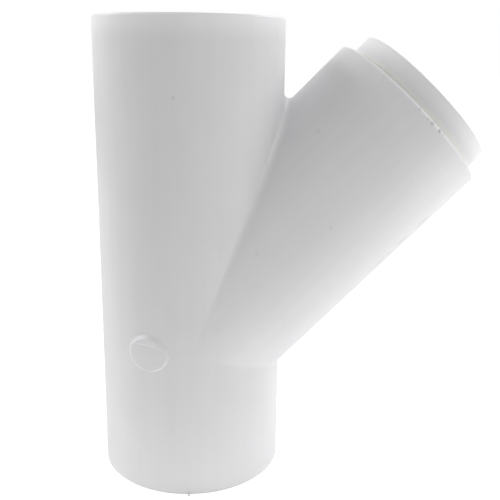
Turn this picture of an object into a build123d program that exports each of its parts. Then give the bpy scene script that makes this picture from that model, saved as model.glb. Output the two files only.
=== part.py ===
"""Equal 45 degree lateral wye for DN 40 solvent-weld pipe, with a 40 to 32 reducer bush in its branch.

+Z runs up the run, the origin is the centre of its lower mouth, and the branch leans towards +X in the
XZ plane. The fitting stands on the rim of the lower mouth. Lengths are in millimetres.
"""
import os
from math import cos, radians, sin, tan

from build123d import *

# Pipe that the body takes, and the cement gap round every pipe and round the bush
pipe_d = 40.0
cement_gap = 0.1

# Body: three barrels of one diameter, on axes that cross
socket_wall = 2.7
branch_angle = 45.0
lower_arm = 37.0
upper_arm = 76.0
branch_arm = 76.0
socket_depth = 26.0
stop_shoulder = 1.6
saddle_round = 1.6

# Edges of the mouths
lead_in = 0.5
run_rim_break = 0.4
branch_rim_round = 0.8

# Round gate pad, just below the crossing, and its higher segment above a chord that falls to the right
gate_d = 9.2
gate_azimuth = -26.8
gate_drop = 0.7
gate_rise = 0.35
gate_flank = 50.0
gate_root = 0.8
gate_chord_height = 2.4
gate_chord_tilt = 6.0
gate_segment_rise = 0.65

# Nib left by the mould on the outside of the lower rim, just above the plane that the fitting stands on
nib_d = 0.7
nib_rise = 0.05
nib_reach = 0.6
nib_azimuth = -2.3

# Reducer bush, cemented in the branch socket against its stop, and its own socket for a 32 mm pipe
bush_wall = 3.9
bush_proud = 5.7
bush_lead = 0.8
bush_edge_break = 0.15
small_socket_depth = 23.0
small_stop_shoulder = 1.5

# Sizes that follow
socket_r = pipe_d / 2 + cement_gap
barrel_r = socket_r + socket_wall
barrel_d = 2 * barrel_r
run_length = lower_arm + upper_arm
waterway_r = socket_r - stop_shoulder
small_pipe_d = pipe_d - 2 * (bush_wall + cement_gap)
small_socket_r = small_pipe_d / 2 + cement_gap
small_waterway_r = small_socket_r - small_stop_shoulder
bush_length = socket_depth + bush_proud
gate_height = lower_arm - gate_drop

# Where the arms point, as an angle from +Z towards +X, and how far each reaches from the crossing
down = 180.0
up = 0.0
arms = ((down, lower_arm), (up, upper_arm), (branch_angle, branch_arm))


def arm_plane(lean, distance, seam=(0, 1, 0)):
    """Plane across an arm, at a distance from the crossing, that faces out along the arm.

    The seam of a round barrel lies in the direction given, as seen from its axis.
    """
    outwards = Vector(sin(radians(lean)), 0, cos(radians(lean)))
    return Plane(Vector(0, 0, lower_arm) + outwards * distance, x_dir=seam, z_dir=outwards)


def flank_plane(azimuth, radius, height):
    """Plane that faces out from the run's axis, with its azimuth counted from -Y towards +X."""
    outwards = Vector(sin(radians(azimuth)), -cos(radians(azimuth)), 0)
    level = Vector(cos(radians(azimuth)), sin(radians(azimuth)), 0)
    return Plane(outwards * radius + Vector(0, 0, height), x_dir=level, z_dir=outwards)


def end_edges(piece, lean):
    """Inner and outer edge of the flat face at the end of a piece that lies furthest along an arm."""
    arm_axis = Axis((0, 0, lower_arm), arm_plane(lean, 0).z_dir)
    end_face = piece.faces().filter_by(GeomType.PLANE).sort_by(arm_axis)[-1]
    return end_face.edges().sort_by(SortBy.LENGTH)


def gate_cone(rise):
    """Round pad on the run's skin, with conical flanks and a top that rises evenly above the skin."""
    with BuildPart() as pad:
        with BuildSketch(Plane.XY.offset(gate_height - gate_d)):
            Circle(barrel_r + rise)
            Circle(barrel_r - gate_root, mode=Mode.SUBTRACT)
        extrude(amount=2 * gate_d)
        cone_height = gate_root + rise
        widening = tan(radians(gate_flank))
        with Locations(flank_plane(gate_azimuth, barrel_r - gate_root, gate_height)):
            Cone(
                gate_d / 2 + gate_root * widening,
                gate_d / 2 - rise * widening,
                cone_height,
                align=(Align.CENTER, Align.CENTER, Align.MIN),
                mode=Mode.INTERSECT,
            )
    return pad.part


with BuildPart() as gate_segment:
    add(gate_cone(gate_segment_rise))
    chord = flank_plane(gate_azimuth, barrel_r + gate_segment_rise, gate_height).location
    with Locations(chord * Rotation(0, 0, -gate_chord_tilt) * Pos(0, gate_chord_height) * Rotation(-gate_flank, 0, 0)):
        Box(2 * gate_d, gate_d, 2 * gate_d, align=(Align.CENTER, Align.MIN, Align.CENTER), mode=Mode.INTERSECT)


with BuildPart() as wye_body:
    # Barrels, each made outwards from the crossing; the branch's seam is underneath, off the saddle's edge
    underneath = (cos(radians(branch_angle)), 0, -sin(radians(branch_angle)))
    for plane, length in (
        (arm_plane(up, 0), upper_arm),
        (arm_plane(down, 0), lower_arm),
        (arm_plane(branch_angle, 0, seam=underneath), branch_arm),
    ):
        with BuildSketch(plane):
            Circle(barrel_r)
        extrude(amount=length)
    fillet(wye_body.edges().filter_by(GeomType.ELLIPSE), saddle_round)

    # Waterways, which meet in a sharp saddle as their cores do
    with BuildSketch(Plane.XY):
        Circle(waterway_r)
    extrude(amount=run_length, mode=Mode.SUBTRACT)
    with BuildSketch(arm_plane(branch_angle, 0)):
        Circle(waterway_r)
    extrude(amount=branch_arm, mode=Mode.SUBTRACT)

    # Sockets, each with a stop at its foot and a lead-in at its mouth
    for lean, length in arms:
        with BuildSketch(arm_plane(lean, length)):
            Circle(socket_r)
        extrude(amount=-socket_depth, mode=Mode.SUBTRACT)
        chamfer(end_edges(wye_body, lean)[0], lead_in)

    # Outer edges of the mouths: crisp on the run, round on the branch
    for lean in (down, up):
        chamfer(end_edges(wye_body, lean)[-1], run_rim_break)
    fillet(end_edges(wye_body, branch_angle)[-1], branch_rim_round)

    # Gate pad, its segment and the nib
    add(gate_cone(gate_rise))
    add(gate_segment.part)
    with BuildSketch(flank_plane(nib_azimuth, barrel_r - nib_d, nib_rise + nib_d / 2)):
        Circle(nib_d / 2)
    extrude(amount=nib_d + nib_reach)


with BuildPart() as reducer_bush:
    # Sleeve from the stop to its square end outside the branch
    with BuildSketch(arm_plane(branch_angle, branch_arm - socket_depth)):
        Circle(pipe_d / 2)
        Circle(small_waterway_r, mode=Mode.SUBTRACT)
    extrude(amount=bush_length)
    with BuildSketch(arm_plane(branch_angle, branch_arm + bush_proud)):
        Circle(small_socket_r)
    extrude(amount=-small_socket_depth, mode=Mode.SUBTRACT)
    mouth_inner, mouth_outer = end_edges(reducer_bush, branch_angle)
    seat_outer = end_edges(reducer_bush, branch_angle + down)[-1]
    chamfer(mouth_inner, lead_in)
    chamfer(mouth_outer, bush_edge_break)
    chamfer(seat_outer, bush_lead)


os.makedirs("parts", exist_ok=True)
wye_body.part.label = "wye_body"
reducer_bush.part.label = "reducer_bush"
export_step(wye_body.part, "parts/wye_body.step")
export_step(reducer_bush.part, "parts/reducer_bush.step")
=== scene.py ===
from math import cos, pi, radians, sin

import bpy
from mathutils import Matrix, Vector


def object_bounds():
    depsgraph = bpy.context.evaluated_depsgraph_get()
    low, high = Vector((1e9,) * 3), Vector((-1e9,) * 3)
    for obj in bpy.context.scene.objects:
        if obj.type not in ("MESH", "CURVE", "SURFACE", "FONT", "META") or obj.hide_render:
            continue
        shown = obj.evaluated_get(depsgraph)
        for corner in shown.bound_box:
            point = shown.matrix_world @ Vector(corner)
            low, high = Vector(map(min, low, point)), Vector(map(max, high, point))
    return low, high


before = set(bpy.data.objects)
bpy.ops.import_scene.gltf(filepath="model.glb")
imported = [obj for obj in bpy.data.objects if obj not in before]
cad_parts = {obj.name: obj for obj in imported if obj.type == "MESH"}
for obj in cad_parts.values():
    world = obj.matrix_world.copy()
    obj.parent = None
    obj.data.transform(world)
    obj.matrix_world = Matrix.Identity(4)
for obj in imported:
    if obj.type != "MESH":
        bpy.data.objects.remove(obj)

MM = 0.001

# The object, as the frame gives it.
cad_low, cad_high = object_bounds()
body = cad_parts["wye_body"]
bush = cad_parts["reducer_bush"]

# Sizes and directions of the object that the finishes refer to, in metres.
BARREL_R = 22.8 * MM
BUSH_R = 20.0 * MM
CROSSING = Vector((0.0, 0.0, 37.0 * MM))
BRANCH_ANGLE = radians(45.0)
RUN_AXIS = Vector((0.0, 0.0, 1.0))
BRANCH_AXIS = Vector((sin(BRANCH_ANGLE), 0.0, cos(BRANCH_ANGLE)))
BRANCH_LOWER = Vector((cos(BRANCH_ANGLE), 0.0, -sin(BRANCH_ANGLE)))
FRONT = Vector((0.0, -1.0, 0.0))
BACK = Vector((0.0, 1.0, 0.0))
RUN_TOP = 113.0 * MM
BRANCH_LENGTH = 76.0 * MM
WITNESS_HEIGHT = 36.3 * MM

# White PVC: base level and index, the tint of each channel, and each piece's roughness.
PVC_LEVEL = 0.822
PVC_IOR = 1.53
PVC_TINT = {"Red": 1.0, "Green": 0.998, "Blue": 1.012}
BODY_ROUGHNESS = 0.36
BUSH_ROUGHNESS = 0.39
ROUGHNESS_SPREAD = 0.03

# Where the camera stood when the picture was taken, and how it was turned, in degrees.
CAMERA_AT = Vector((0.0, -188.1 * MM, 106.2 * MM))
CAMERA_YAW = -4.58
CAMERA_PITCH = -14.93
CAMERA_ROLL = -0.78
CAMERA_LENS = 54.8

# Soft boxes round the object, and patches of lit table that face up beside it and under it:
# place, point that each faces, width, height (metres), power (watts).
LAMPS = {
    "box_right_front": ((0.426, -0.246, 0.374), (0.01, 0, 0.05), 0.25, 0.25, 0.48),
    "box_right": ((0.491, 0.000, 0.374), (0.01, 0, 0.05), 0.25, 0.25, 0.05),
    "box_right_back": ((0.426, 0.246, 0.374), (0.01, 0, 0.05), 0.25, 0.25, 1.25),
    "box_left_back": ((-0.426, 0.246, 0.374), (0.01, 0, 0.05), 0.25, 0.25, 1.25),
    "box_left": ((-0.491, 0.000, 0.374), (0.01, 0, 0.05), 0.25, 0.25, 0.46),
    "table_right": ((0.270, 0.000, 0.0002), (0.27, 0, 1), 0.30, 0.30, 0.36),
    "table_near_front": ((0.000, -0.075, 0.0002), (0, -0.075, 1), 0.12, 0.09, 0.012),
    "table_near_left": ((-0.075, 0.000, 0.0002), (-0.075, 0, 1), 0.09, 0.12, 0.015),
    "table_near_right": ((0.085, 0.000, 0.0002), (0.085, 0, 1), 0.10, 0.12, 0.020),
    "table_under": ((0.000, 0.000, 0.0002), (0, 0, 1), 0.07, 0.07, 0.0075),
}
LAMPS_IN_GLOSS = "box"

# How bright the surround lights the object, and what lifts the table to white for the camera.
SKY = 0.42
FLOOR_LIFT = 0.75
FLOOR_LEVEL = 0.8
FLOOR_HALF = 3.0


def on_run(azimuth, height):
    """A point on the run's skin; azimuth in degrees from the front towards +X, height in mm."""
    a = radians(azimuth)
    return Vector((BARREL_R * sin(a), -BARREL_R * cos(a), height * MM))


def on_branch(azimuth, along):
    """A point on the branch's skin; azimuth in degrees from the front towards its lower side, and
    distance from the crossing in mm."""
    a = radians(azimuth)
    out = BRANCH_LOWER * sin(a) + FRONT * cos(a)
    return CROSSING + BRANCH_AXIS * (along * MM) + out * BARREL_R


class Finish:
    """A node material, built up with short calls."""

    def __init__(self, name):
        self.material = bpy.data.materials.new(name)
        self.material.use_nodes = True
        self.tree = self.material.node_tree
        self.shader = self.tree.nodes["Principled BSDF"]
        self.place = self.node("ShaderNodeTexCoord").outputs["Object"]

    def node(self, kind, **settings):
        made = self.tree.nodes.new(kind)
        for key, value in settings.items():
            setattr(made, key, value)
        return made

    def feed(self, socket, value):
        if isinstance(value, bpy.types.NodeSocket):
            self.tree.links.new(value, socket)
        else:
            socket.default_value = value

    def math(self, operation, a, b=0.0):
        made = self.node("ShaderNodeMath", operation=operation)
        self.feed(made.inputs[0], a)
        self.feed(made.inputs[1], b)
        return made.outputs[0]

    def add(self, *values):
        total = values[0]
        for value in values[1:]:
            total = self.math("ADD", total, value)
        return total

    def times(self, a, b):
        return self.math("MULTIPLY", a, b)

    def vector(self, operation, a, b=(0, 0, 0)):
        made = self.node("ShaderNodeVectorMath", operation=operation)
        self.feed(made.inputs[0], a)
        self.feed(made.inputs[1], tuple(b) if isinstance(b, Vector) else b)
        single = operation in ("LENGTH", "DOT_PRODUCT", "DISTANCE")
        return made.outputs["Value" if single else "Vector"]

    def span(self, value, start, end, low=0.0, high=1.0, kind="SMOOTHSTEP"):
        """Carries value from start..end to low..high, held at both ends."""
        made = self.node("ShaderNodeMapRange", interpolation_type=kind)
        self.feed(made.inputs["Value"], value)
        for key, number in (("From Min", start), ("From Max", end), ("To Min", low), ("To Max", high)):
            made.inputs[key].default_value = number
        return made.outputs["Result"]

    def noise(self, scale, place=None, detail=2.0):
        made = self.node("ShaderNodeTexNoise")
        self.feed(made.inputs["Vector"], place or self.place)
        made.inputs["Scale"].default_value = scale
        made.inputs["Detail"].default_value = detail
        return made.outputs["Fac"]

    def along(self, axis, origin=Vector((0, 0, 0))):
        """Distance along an axis from an origin, in metres."""
        return self.math("SUBTRACT", self.vector("DOT_PRODUCT", self.place, axis), axis.dot(origin))

    def away(self, axis, origin=Vector((0, 0, 0))):
        """Distance from an axis through an origin, in metres."""
        moved = self.vector("SUBTRACT", self.place, origin)
        return self.vector("LENGTH", self.vector("CROSS_PRODUCT", moved, axis))

    def spot(self, centre, size, rim=0.5):
        """1 in the middle of a round spot of a given diameter in mm, 0 outside it."""
        away = self.vector("DISTANCE", self.place, centre)
        return self.span(away, size * MM / 2 * rim, size * MM / 2, 1.0, 0.0)

    def streak(self, start, end, width):
        """1 along a thin scratch between two points, 0 away from it; width in mm."""
        run = end - start
        turn = run.to_track_quat("Z", "Y").inverted().to_matrix()
        moved = self.vector("SUBTRACT", self.place, (start + end) / 2)
        parts = [self.vector("DOT_PRODUCT", moved, row) for row in turn]
        parts[2] = self.times(parts[2], width * MM / run.length)
        square = self.add(*[self.times(part, part) for part in parts])
        return self.span(self.math("SQRT", square), width * MM / 8, width * MM / 2, 1.0, 0.0)

    def line(self, distance, width):
        """1 where a distance is near nought, 0 beyond half a width in mm."""
        return self.span(self.math("ABSOLUTE", distance), 0.0, width * MM / 2, 1.0, 0.0)

    def drawn(self, axis, scale, squeeze):
        """Noise drawn out along an axis, as a tool or the flow of plastic leaves it."""
        reach = self.vector("DOT_PRODUCT", self.place, axis)
        made = self.node("ShaderNodeVectorMath", operation="SCALE")
        made.inputs[0].default_value = axis
        self.feed(made.inputs["Scale"], self.times(reach, 1.0 - squeeze))
        return self.noise(scale, self.vector("SUBTRACT", self.place, made.outputs["Vector"]), 3.0)


def no_stain(f):
    """Nothing taken from the blue."""
    return []


def moulded_plastic(name, roughness, marks_and_painted_light, relief, stain=no_stain):
    """White moulded PVC: a cloudy tone and gloss, a fine skin, then the blemishes and painted light,
    relief and stain given.
    """
    f = Finish(name)
    cloud = f.span(f.noise(60, detail=3), 0.3, 0.7, -0.008, 0.008)
    fleck = f.span(f.noise(1900, detail=0), 0.80, 0.86, 0.0, -0.05)
    tone = f.add(cloud, fleck, PVC_LEVEL, *marks_and_painted_light(f))
    colour = f.node("ShaderNodeCombineColor")
    for key, tint in PVC_TINT.items():
        shade = f.times(tone, tint)
        if key == "Blue":
            shade = f.add(shade, *stain(f))
        f.feed(colour.inputs[key], shade)
    f.feed(f.shader.inputs["Base Color"], colour.outputs["Color"])
    smoothest = roughness - ROUGHNESS_SPREAD
    roughest = roughness + ROUGHNESS_SPREAD
    smear = f.span(f.noise(90, detail=3), 0.3, 0.7, smoothest, roughest)
    f.feed(f.shader.inputs["Roughness"], smear)
    f.shader.inputs["IOR"].default_value = PVC_IOR
    grain = f.times(f.noise(1500, detail=2), 0.0015 * MM)
    ripple = f.times(f.noise(320), 0.004 * MM)
    skin = f.add(grain, ripple)
    bump = f.node("ShaderNodeBump")
    bump.inputs["Strength"].default_value = 1.0
    bump.inputs["Distance"].default_value = 1.0
    f.feed(bump.inputs["Height"], f.add(skin, *relief(f)))
    f.feed(f.shader.inputs["Normal"], bump.outputs["Normal"])
    return f.material


# Dirt and burrs on the body: place, diameter (mm), how much darker.
SPECKS = (
    (on_run(-9.1, 95.6), 1.4, 0.10),
    (on_branch(-43.3, 56.4), 1.4, 0.08),
    (on_branch(2.6, 43.5), 1.2, 0.08),
    (on_branch(27.1, 20.6), 1.2, 0.06),
    (on_branch(-15.7, 27.3), 1.2, 0.06),
    (on_branch(-11.6, 75.5), 1.2, 0.14),
    (on_branch(-4.0, 75.4), 1.3, 0.10),
    (on_branch(-0.7, 75.4), 1.4, 0.26),
    (on_branch(5.6, 75.5), 1.3, 0.40),
)
SPECK_CORE = 0.1
FLOW = {"scale": 420, "squeeze": 0.04}


def flow_lines(f):
    """Faint lines that the plastic's flow drew along the run and along the branch."""
    on_arm = f.span(f.away(RUN_AXIS), 23.0 * MM, 23.6 * MM)
    off_arm = f.span(on_arm, 0, 1, 1.0, 0.0, "LINEAR")
    run_lines = f.span(f.drawn(RUN_AXIS, **FLOW), 0.35, 0.65, -0.006, 0.006)
    arm_lines = f.span(f.drawn(BRANCH_AXIS, **FLOW), 0.35, 0.65, -0.006, 0.006)
    return f.add(f.times(run_lines, off_arm), f.times(arm_lines, on_arm))


def body_marks_and_painted_light(f):
    """Flow lines, specks, a scratch and a chipped place, painted shade along the branch's lower side,
    and painted light at the run's top rim and on the branch's rim.
    """
    dark = [f.times(f.spot(place, size, SPECK_CORE), -depth) for place, size, depth in SPECKS]
    scratch = f.times(f.streak(on_run(56, 111), on_run(64, 106), 0.5), -0.10)
    chipped = f.times(f.streak(on_branch(5.6, 75.5), on_branch(11.5, 75.8), 0.6), -0.25)
    # Painted shade: a broken dark line along the branch's lower side, near its outline.
    broken = f.span(f.noise(330, detail=1), 0.44, 0.54, -0.01, -0.11)
    painted_edge_shade = f.times(f.streak(on_branch(54, 38), on_branch(56, 73), 2.0), broken)
    height = f.along(RUN_AXIS)
    # Painted light: the top 6 mm of the run lighter than the rest of the body.
    painted_light_top = f.span(height, RUN_TOP - 6.0 * MM, RUN_TOP, -0.02, 0.10)
    reach = f.along(BRANCH_AXIS, CROSSING)
    # Painted highlight on the rounded rim at the branch's end.
    painted_highlight_rim = f.span(reach, BRANCH_LENGTH - 0.9 * MM, BRANCH_LENGTH - 0.5 * MM, 0.0, 0.05)
    return [flow_lines(f), scratch, chipped, painted_edge_shade, painted_light_top, painted_highlight_rim, *dark]


def body_relief(f):
    """The mould's parting line in the plane of the arms, and its witness line round the run."""
    parting = f.times(f.line(f.along(BACK), 0.5), 0.03 * MM)
    witness = f.times(f.line(f.along(RUN_AXIS, RUN_AXIS * WITNESS_HEIGHT), 0.7), 0.02 * MM)
    return [parting, witness]


def cement(f):
    """1 on the band next to the seam where cement was wiped off, 0 elsewhere and inside the bush."""
    reach = f.along(BRANCH_AXIS, CROSSING)
    wander = f.span(f.noise(260, detail=1), 0.3, 0.7, -0.2 * MM, 0.2 * MM)
    edge = f.add(reach, wander)
    band = f.span(edge, BRANCH_LENGTH + 0.8 * MM, BRANCH_LENGTH + 2.0 * MM, 1.0, 0.0)
    outside = f.span(f.away(BRANCH_AXIS, CROSSING), BUSH_R - 0.6 * MM, BUSH_R - 0.2 * MM)
    return f.times(band, outside)


def bush_marks_and_painted_light(f):
    """Scuffs and cement next to the seam, and painted shade at the seam grading to painted light at
    the bush's end.
    """
    reach = f.along(BRANCH_AXIS, CROSSING)
    near_seam = f.span(reach, BRANCH_LENGTH, BRANCH_LENGTH + 2.0 * MM, 1.0, 0.0)
    scuffs = f.times(f.span(f.noise(700, detail=3), 0.50, 0.66), near_seam)
    # Painted shade next to the seam under the branch's wider rim, grading to painted light towards the
    # bush's end.
    painted_shade_and_light = f.span(reach, BRANCH_LENGTH + 0.5 * MM, BRANCH_LENGTH + 5.0 * MM, -0.05, 0.05)
    return [f.times(scuffs, -0.05), painted_shade_and_light, f.times(cement(f), 0.07)]


def bush_stain(f):
    """The cement is yellowish."""
    return [f.times(cement(f), -0.05)]


def bush_relief(f):
    """Fine turned rings on the bush's end and side."""
    reach = f.along(BRANCH_AXIS, CROSSING)
    made = f.node("ShaderNodeCombineXYZ")
    f.feed(made.inputs["X"], reach)
    rings = f.noise(1800, made.outputs["Vector"], 1.0)
    return [f.times(rings, 0.004 * MM)]


def dress(node, material):
    """Gives every slot of a piece one material."""
    for slot in node.material_slots:
        slot.material = material


dress(body, moulded_plastic("body_pvc", BODY_ROUGHNESS, body_marks_and_painted_light, body_relief))
dress(bush, moulded_plastic("bush_pvc", BUSH_ROUGHNESS, bush_marks_and_painted_light, bush_relief, bush_stain))


def make_camera():
    """The camera, where and how the photographer held it."""
    data = bpy.data.cameras.new("camera")
    data.lens = CAMERA_LENS
    data.sensor_width = 36.0
    data.clip_start = 0.01
    camera = bpy.data.objects.new("camera", data)
    turn = Matrix.Rotation(radians(CAMERA_YAW), 4, "Z")
    turn = turn @ Matrix.Rotation(pi / 2 + radians(CAMERA_PITCH), 4, "X")
    turn = turn @ Matrix.Rotation(-radians(CAMERA_ROLL), 4, "Z")
    camera.matrix_world = Matrix.Translation(CAMERA_AT) @ turn
    bpy.context.scene.collection.objects.link(camera)
    bpy.context.scene.camera = camera


def make_lamps():
    """The lamps of the table above, unseen by the camera; only the soft boxes show in the gloss."""
    for name, (place, target, width, height, power) in LAMPS.items():
        data = bpy.data.lights.new(name, "AREA")
        data.shape = "RECTANGLE"
        data.size = width
        data.size_y = height
        data.energy = power
        lamp = bpy.data.objects.new(name, data)
        lamp.location = place
        lamp.rotation_mode = "QUATERNION"
        lamp.rotation_quaternion = (Vector(target) - Vector(place)).to_track_quat("-Z", "Y")
        lamp.visible_camera = False
        lamp.visible_glossy = name.startswith(LAMPS_IN_GLOSS)
        bpy.context.scene.collection.objects.link(lamp)


def when_seen(tree, low, high, *kinds):
    """A strength that is high for the kinds of ray named and low for the rest."""
    path = tree.nodes.new("ShaderNodeLightPath")
    seen = path.outputs[kinds[0]]
    for kind in kinds[1:]:
        either = tree.nodes.new("ShaderNodeMath")
        either.operation = "MAXIMUM"
        tree.links.new(seen, either.inputs[0])
        tree.links.new(path.outputs[kind], either.inputs[1])
        seen = either.outputs[0]
    level = tree.nodes.new("ShaderNodeMapRange")
    level.inputs["To Min"].default_value = low
    level.inputs["To Max"].default_value = high
    tree.links.new(seen, level.inputs["Value"])
    return level.outputs["Result"]


def make_surround():
    """White where the camera or the gloss sees it, and a soft grey as a light."""
    world = bpy.data.worlds.new("surround")
    world.use_nodes = True
    tree = world.node_tree
    back = tree.nodes["Background"]
    back.inputs["Color"].default_value = (1, 1, 1, 1)
    strength = when_seen(tree, SKY, 1.0, "Is Camera Ray", "Is Glossy Ray", "Is Transmission Ray")
    tree.links.new(strength, back.inputs["Strength"])
    bpy.context.scene.world = world


def make_floor():
    """A plain white table, lifted to white where the camera sees it out of the shadow."""
    z = cad_low.z
    mesh = bpy.data.meshes.new("floor")
    signs = ((-1, -1), (1, -1), (1, 1), (-1, 1))
    corners = [(x * FLOOR_HALF, y * FLOOR_HALF, z) for x, y in signs]
    mesh.from_pydata(corners, [], [(0, 1, 2, 3)])
    floor = bpy.data.objects.new("floor", mesh)
    bpy.context.scene.collection.objects.link(floor)
    material = bpy.data.materials.new("floor_white")
    material.use_nodes = True
    tree = material.node_tree
    shader = tree.nodes["Principled BSDF"]
    shader.inputs["Base Color"].default_value = (FLOOR_LEVEL, FLOOR_LEVEL, FLOOR_LEVEL, 1)
    shader.inputs["Roughness"].default_value = 0.9
    shader.inputs["Specular IOR Level"].default_value = 0.0
    shader.inputs["Emission Color"].default_value = (1, 1, 1, 1)
    lift = when_seen(tree, 0.0, FLOOR_LIFT, "Is Camera Ray")
    tree.links.new(lift, shader.inputs["Emission Strength"])
    mesh.materials.append(material)


make_camera()
make_lamps()
make_surround()
make_floor()
bpy.context.scene.view_settings.view_transform = "Standard"
